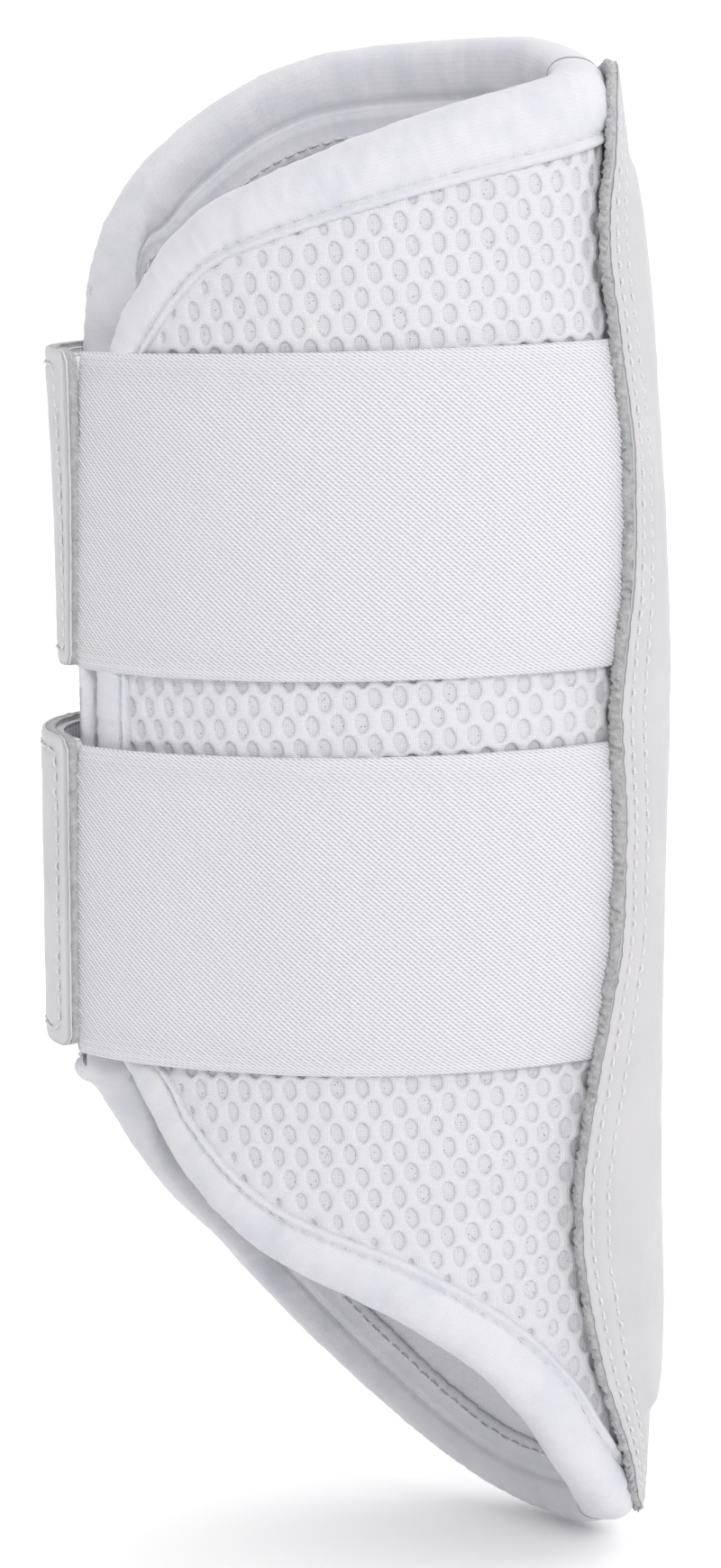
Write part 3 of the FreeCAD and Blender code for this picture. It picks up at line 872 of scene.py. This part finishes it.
# centre: the strap's middle height at x = 0. low, high: the tab's edges. lift: how far the tab stands
# off the nose, by height. start: the tab's near end, by height. rise: how far the elastic climbs to it.
# lap: how far the elastic runs on under the tab. bend: where the tab starts and stops following the elastic,
# in metres, which is not used: a tab with it set stays where it is built; None is for a tab that only swings
# off the nose.
STRAPS = {
    "upper": {"centre": 58.0, "low": 24.5, "high": 88.6, "lift": ((24, -0.7), (60, -0.1), (88, 1.1)),
              "start": ((24, 14.2), (88, 16.6)), "rise": 0.35, "lap": 1.2, "bend": None},
    "lower": {"centre": -21.0, "low": -53.5, "high": 11.0, "lift": ((-54, 2.7), (11, 2.9)),
              "start": ((-54, 17.4), (11, 17.6)), "rise": 2.9, "lap": 1.0,
              "bend": ((-0.0540, -0.0203, 0), (-0.0589, -0.0153, 0))},
}
ELASTIC_HALF, ELASTIC_STOP, ELASTIC_TOP, ELASTIC_UNDER = 31.6, 135.5, 1.9, 0.45
RISE_FROM, RISE_SPAN = 58.0, 40.0
TAB_OUT, TAB_FOLD, TAB_TIP = 5.1, -18.2, -68.9
TAB_CORNER, TAB_SKIN, TAB_THICK, TIP_THICK = 9.0, 0.9, 3.0, 2.1
NOSE_X = FRONT_END_X - END_RADIUS
SEWN_DEPTH, SEWN_INSET = 0.4, 2.9


def tab_out(spec, s, z):
    """Outer offset of a tab's face: it stands off the nose and lies down on the far side."""
    return TAB_OUT + smooth(spec["lift"])(z) * step((s + 48) / 30)


def strap_middle(s, centre):
    """Height of a strap's middle line at girth s, which rises a little to the back."""
    return centre + STRAP_SLOPE * surface(s, centre, 0)[..., 0]


def closed_ends(made):
    """Fills a tube's open ends."""
    work = bmesh.new()
    work.from_mesh(made.data)
    bmesh.ops.holes_fill(work, edges=[e for e in work.edges if e.is_boundary], sides=0)
    work.to_mesh(made.data)
    work.free()


def tab_slope(s):
    """How far a strap's slope lifts a tab at girth s over its height at the nose."""
    return STRAP_SLOPE * (surface(s, 0.0, 0)[..., 0] - NOSE_X)


def elastic(name, spec):
    """Ribbed elastic: a thin closed band with slanting ribs in its surface."""
    face = np.linspace(-1, 1, 44)
    back = np.linspace(1, -1, 14)
    level = np.concatenate([face, [1.012, 1.012], back, [-1.012, -1.012]])
    outer = np.concatenate([np.ones(len(face)), np.zeros(len(back) + 4)])
    off = np.concatenate([ELASTIC_TOP - 0.5 * np.abs(face) ** 14, [1.15, 0.8],
                          np.full(len(back), ELASTIC_UNDER), [0.8, 1.15]])
    lean = RIB_LEAN * ELASTIC_HALF
    start = smooth(spec["start"])(spec["centre"] + level * ELASTIC_HALF)[None] - spec["lap"]
    u = np.arange(start.min() - lean, ELASTIC_STOP + lean, RIB_PITCH / 5)
    s = u[:, None] - level[None] * lean
    low_end, high_end = s < start, s > ELASTIC_STOP
    s = np.clip(s, start, ELASTIC_STOP)
    z = strap_middle(s, spec["centre"]) + level[None] * ELASTIC_HALF
    edge = 1 - np.abs(level[None]) ** 16
    bend = 2.2 * np.sign(level[None]) * np.abs(level[None]) ** 10     # ribs turn upright at the selvedge
    phase = (u[:, None] + bend) / RIB_PITCH * 2 * math.pi
    rib = (0.5 - 0.5 * np.cos(phase)) ** 0.8 * RIB_HEIGHT * outer[None] * (0.4 + 0.6 * edge)
    knots = 0.7 + 0.3 * np.sin(z * 2 * math.pi / 1.9 + phase / 2)
    sag = noise(np.stack([s, z], -1), 24, 51) * 0.14 * outer[None]
    rise = spec["rise"] * step((RISE_FROM - s) / RISE_SPAN)
    lie = off[None] + rib * 2 * knots + sag + rise
    points = surface(s, z, lie).reshape(-1, 3)
    n, m = s.shape
    faces = grid_faces(n, m, wrap_columns=True)
    for out_of in (low_end.reshape(-1), high_end.reshape(-1)):
        faces = faces[~out_of[faces].all(1)]
    used = np.unique(faces)
    new = np.zeros(n * m, int)
    new[used] = np.arange(len(used))
    weave = np.stack([u[:, None] + bend + 0 * s, z, lie], -1).reshape(-1, 3)
    made = piece(f"{name}_elastic_band", points[used], new[faces], ELASTIC, weave[used])
    closed_ends(made)
    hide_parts(f"{name}_elastic", f"{name}_elastic_anchor")
    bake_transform(made)


def strip(label, spec, s_root, s_tip, corner, top, under, inset, look, rough=0.0, seed=71):
    """A closed strip round the nose between two depths below the tab's face, its tip's corners rounded.

    s_root and s_tip are girths, or pairs of (height, girth) for a slanting end. rough frays its edges.
    """
    low, high = spec["low"] + inset, spec["high"] - inset
    half, centre = (high - low) / 2, (high + low) / 2
    rows = 64
    v = np.linspace(-1, 1, rows)[:, None]
    root, tip = (smooth(end)(centre + v[:, 0] * half)[:, None] if isinstance(end, tuple) else end
                 for end in (s_root, s_tip))
    reach = np.mean(tip) - np.mean(root)
    d = np.linspace(0, 1, int(abs(reach) / 0.9) + 2)[None]
    tip_gap = (1 - d) * np.abs(reach)
    shrink = np.where(tip_gap < corner,
                      corner - np.sqrt(np.clip(corner ** 2 - (corner - tip_gap) ** 2, 0, None)), 0)
    s, flat = np.broadcast_arrays(root * (1 - d) + tip * d, v * (half - shrink))
    ragged = noise(np.stack([s, flat], -1), 1.5, seed, 3) * rough
    border = (np.abs(v) > 0.985) + (d > 0.995) * 1.0
    z = centre + flat + tab_slope(s) + np.sign(v) * np.abs(ragged) * border
    s = s + np.sign(reach) * ragged * (d > 0.995)
    face = tab_out(spec, s, z)
    edge = np.minimum(half - shrink - np.abs(flat), tip_gap + 0 * flat)
    wavy = 0.07 * noise(np.stack([s, z], -1), 12, seed + 1)
    rolled = 0
    if top == 0:
        face = face - SEWN_DEPTH * np.exp(-((edge - SEWN_INSET) / 0.75) ** 2)
        rolled = 0.35 * np.exp(-np.clip(edge, 0, None) / 0.8)
    high_side = face - top + wavy - rolled + ragged * 0.3
    low_side = face - under + wavy
    points = np.concatenate([surface(s, z, off).reshape(-1, 3) for off in (high_side, low_side)])
    weave = np.stack([s, z, high_side], -1).reshape(-1, 3)
    return piece(label, points, slab_faces(*z.shape, flip=reach > 0), look, np.concatenate([weave, weave]))


def tab_stitches(label, spec, path):
    """Sewing along a path of (girth, height) on a tab's face."""
    line = resampled(path, 0.8)
    line = np.column_stack([line, tab_out(spec, line[:, 0], line[:, 1]) - 0.15])
    made = stitches(label, 1, [line], 0, radius=0.3, lift=0.42)
    return made


def straps():
    """Both elastics and their tabs: what is sewn round the nose, and the tab's free tip."""
    for name, spec in STRAPS.items():
        elastic(name, spec)
        start, wrap, tip = spec["start"], f"{name}_tab_wrap", f"{name}_tab_end"
        at_near = tuple((z, s - 0.4) for z, s in start)
        on_wrap = [
            strip(f"{name}_tab_skin", spec, TAB_FOLD, start, 2.5, 0, TAB_SKIN, 0, TAB_PU),
            strip(f"{name}_tab_felt", spec, TAB_FOLD, start, 2.5, TAB_SKIN, TAB_THICK, 0.1, FELT, 0.3),
            strip(f"{name}_elastic_lap", spec, TAB_FOLD, at_near, 1.0, TAB_THICK + 0.02, TAB_THICK + 1.7,
                  0.9, ELASTIC)]
        on_tip = [
            strip(f"{name}_tab_tip_skin", spec, TAB_FOLD, TAB_TIP, TAB_CORNER, 0, TAB_SKIN, 0, TAB_PU),
            strip(f"{name}_tab_tip_felt", spec, TAB_FOLD, TAB_TIP, TAB_CORNER, TAB_SKIN, TIP_THICK, 0.1,
                  FELT, 0.3),
            strip(f"{name}_tab_hook_tape", spec, TAB_FOLD - 3, TAB_TIP + 5, 4.0, TIP_THICK + 0.02, 3.4, 6.0,
                  HOOK, 0.1)]
        low, high = spec["low"], spec["high"]
        near_s = float(np.mean([s for _, s in start])) - SEWN_INSET
        row = [(TAB_FOLD + 1, high - 3.0), (near_s - 0.7, high - 3.0), (near_s, high - 4.2),
               (near_s, low + 4.2), (near_s - 0.7, low + 3.0), (TAB_FOLD + 1, low + 3.0)]
        on_wrap += [tab_stitches(f"{name}_tab_stitching", spec, row)]
        inset = TAB_CORNER - 3.0
        turn = np.linspace(0, math.pi / 2, 9)
        middle = TAB_TIP + TAB_CORNER
        corner = [(middle - inset * math.sin(t), low + TAB_CORNER - inset * math.cos(t)) for t in turn]
        corner += [(middle - inset * math.cos(t), high - TAB_CORNER + inset * math.sin(t)) for t in turn]
        border = [(TAB_FOLD - 1, low + 3.2)] + corner + [(TAB_FOLD - 1, high - 3.2)]
        border = [(a, b + tab_slope(a)) for a, b in border]
        on_tip += [tab_stitches(f"{name}_tab_tip_stitching", spec, border)]
        for made in on_wrap:
            if spec["bend"]:
                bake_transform(made)
            else:
                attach(made, wrap)
        for made in on_tip:
            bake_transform(made)
        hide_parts(f"{name}_tab")
        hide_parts(f"{name}_elastic_end")
        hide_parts(f"{name}_tab_tip")
        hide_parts(f"{name}_hook_tape")


LOOP_ROOT, LOOP_TIP, LOOP_HALF = -20.4, -89.0, 27.0         # its ends' girths and half its width
LOOP_TOP, LOOP_UNDER = 1.35, 0.05                           # offsets of its pile and its back


def loop_patches():
    """Loop tape sewn to the far side, where the tabs fasten."""
    for name, spec in STRAPS.items():
        middle = spec["centre"] + STRAP_SLOPE * NOSE_X
        patch = {"low": middle - LOOP_HALF, "high": middle + LOOP_HALF, "lift": ((-100, 0), (100, 0))}
        pile = strip(f"{name}_loop_pile", patch, LOOP_ROOT, LOOP_TIP, 3.0, TAB_OUT - LOOP_TOP,
                     TAB_OUT - LOOP_UNDER, 0, LOOP, 0.25, seed=81)
        inset = 2.4
        s_in, s_out = LOOP_ROOT - inset, LOOP_TIP + inset
        low, high = patch["low"] + inset, patch["high"] - inset
        border = [(s_in, low), (s_out, low), (s_out, high), (s_in, high), (s_in, low)]
        line = resampled([(a, b + tab_slope(a)) for a, b in resampled(border, 2.0)], 0.8)
        sewn = stitches(f"{name}_loop_stitching", 1, [line], LOOP_TOP, radius=0.24, lift=0.34)
        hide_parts(f"{name}_loop_patch")
        for made in (pile, sewn):
            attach(made, "far_panel")


straps()
loop_patches()


# ---------------------------------------------------------------- the stage, camera and light
FLOOR_Z = float(cad_box[0].z) - 0.0005
VIEW_AZIMUTH, VIEW_ELEVATION, VIEW_DISTANCE = 12, 10, 0.8   # fitted to the photo's rims and straps
LENS, SENSOR = 4348 / 1740 * 36.0, 36.0                     # the photo's focal length and height in pixels
PALE_WAY = (0.65, 0.75, 0.6)                                # the world is palest this way
WORLD_FADE = (("From Min", -0.9), ("From Max", 0.7), ("To Min", 0.52), ("To Max", 1.22))


def stage():
    """A plain pale floor."""
    floor_look = Look("studio_floor", roughness=0.9, specular=0.1)
    floor_look.base(floor_look.mix((1.0, 1.0, 1.0), (0.985, 0.985, 0.99),
                                   floor_look.noise(floor_look.space(1.0), 3.0)))
    bpy.ops.mesh.primitive_grid_add(x_subdivisions=8, y_subdivisions=8, size=12, location=(0, 0, FLOOR_Z))
    floor = bpy.context.object
    floor.name = "studio_floor"
    floor.data.materials.append(floor_look.material)


def studio_light():
    """A pale world, a little darker in front of the near side and most on the nose's side."""
    world = bpy.data.worlds.new("studio")
    world.use_nodes = True
    nodes, links = world.node_tree.nodes, world.node_tree.links
    place = nodes.new("ShaderNodeTexCoord")
    along = nodes.new("ShaderNodeVectorMath")
    along.operation = "DOT_PRODUCT"
    along.inputs[1].default_value = PALE_WAY
    fade = nodes.new("ShaderNodeMapRange")
    for socket, value in WORLD_FADE:
        fade.inputs[socket].default_value = value
    links.new(place.outputs["Generated"], along.inputs[0])
    links.new(along.outputs["Value"], fade.inputs["Value"])
    links.new(fade.outputs["Result"], nodes["Background"].inputs["Strength"])
    nodes["Background"].inputs["Color"].default_value = (1, 1, 1, 1)
    bpy.context.scene.world = world


def area_light(name, place, size, power):
    """A round lamp in metres and watts that faces the origin."""
    data = bpy.data.lights.new(name, "AREA")
    data.shape, data.size, data.energy = "DISK", size, power
    lamp = bpy.data.objects.new(name, data)
    bpy.context.scene.collection.objects.link(lamp)
    lamp.location = place
    lamp.rotation_euler = (-Vector(place)).to_track_quat("-Z", "Y").to_euler()


def camera():
    """The photo's camera."""
    azimuth, elevation = math.radians(VIEW_AZIMUTH), math.radians(VIEW_ELEVATION)
    back = Vector((math.sin(azimuth) * math.cos(elevation), -math.cos(azimuth) * math.cos(elevation),
                   math.sin(elevation)))
    data = bpy.data.cameras.new("camera")
    data.sensor_width, data.lens = SENSOR, LENS
    data.clip_start, data.clip_end = 0.01, 50
    made = bpy.data.objects.new("camera", data)
    bpy.context.scene.collection.objects.link(made)
    made.location = back * VIEW_DISTANCE
    made.rotation_mode = "QUATERNION"
    made.rotation_quaternion = (-back).to_track_quat("-Z", "Y")
    bpy.context.scene.camera = made


stage()
camera()
studio_light()
area_light("key", (0.8, -1.6, 1.1), 0.7, 13)
area_light("back", (0.9, 1.6, 1.2), 1.2, 5)
bpy.context.scene.view_settings.view_transform = "Standard"
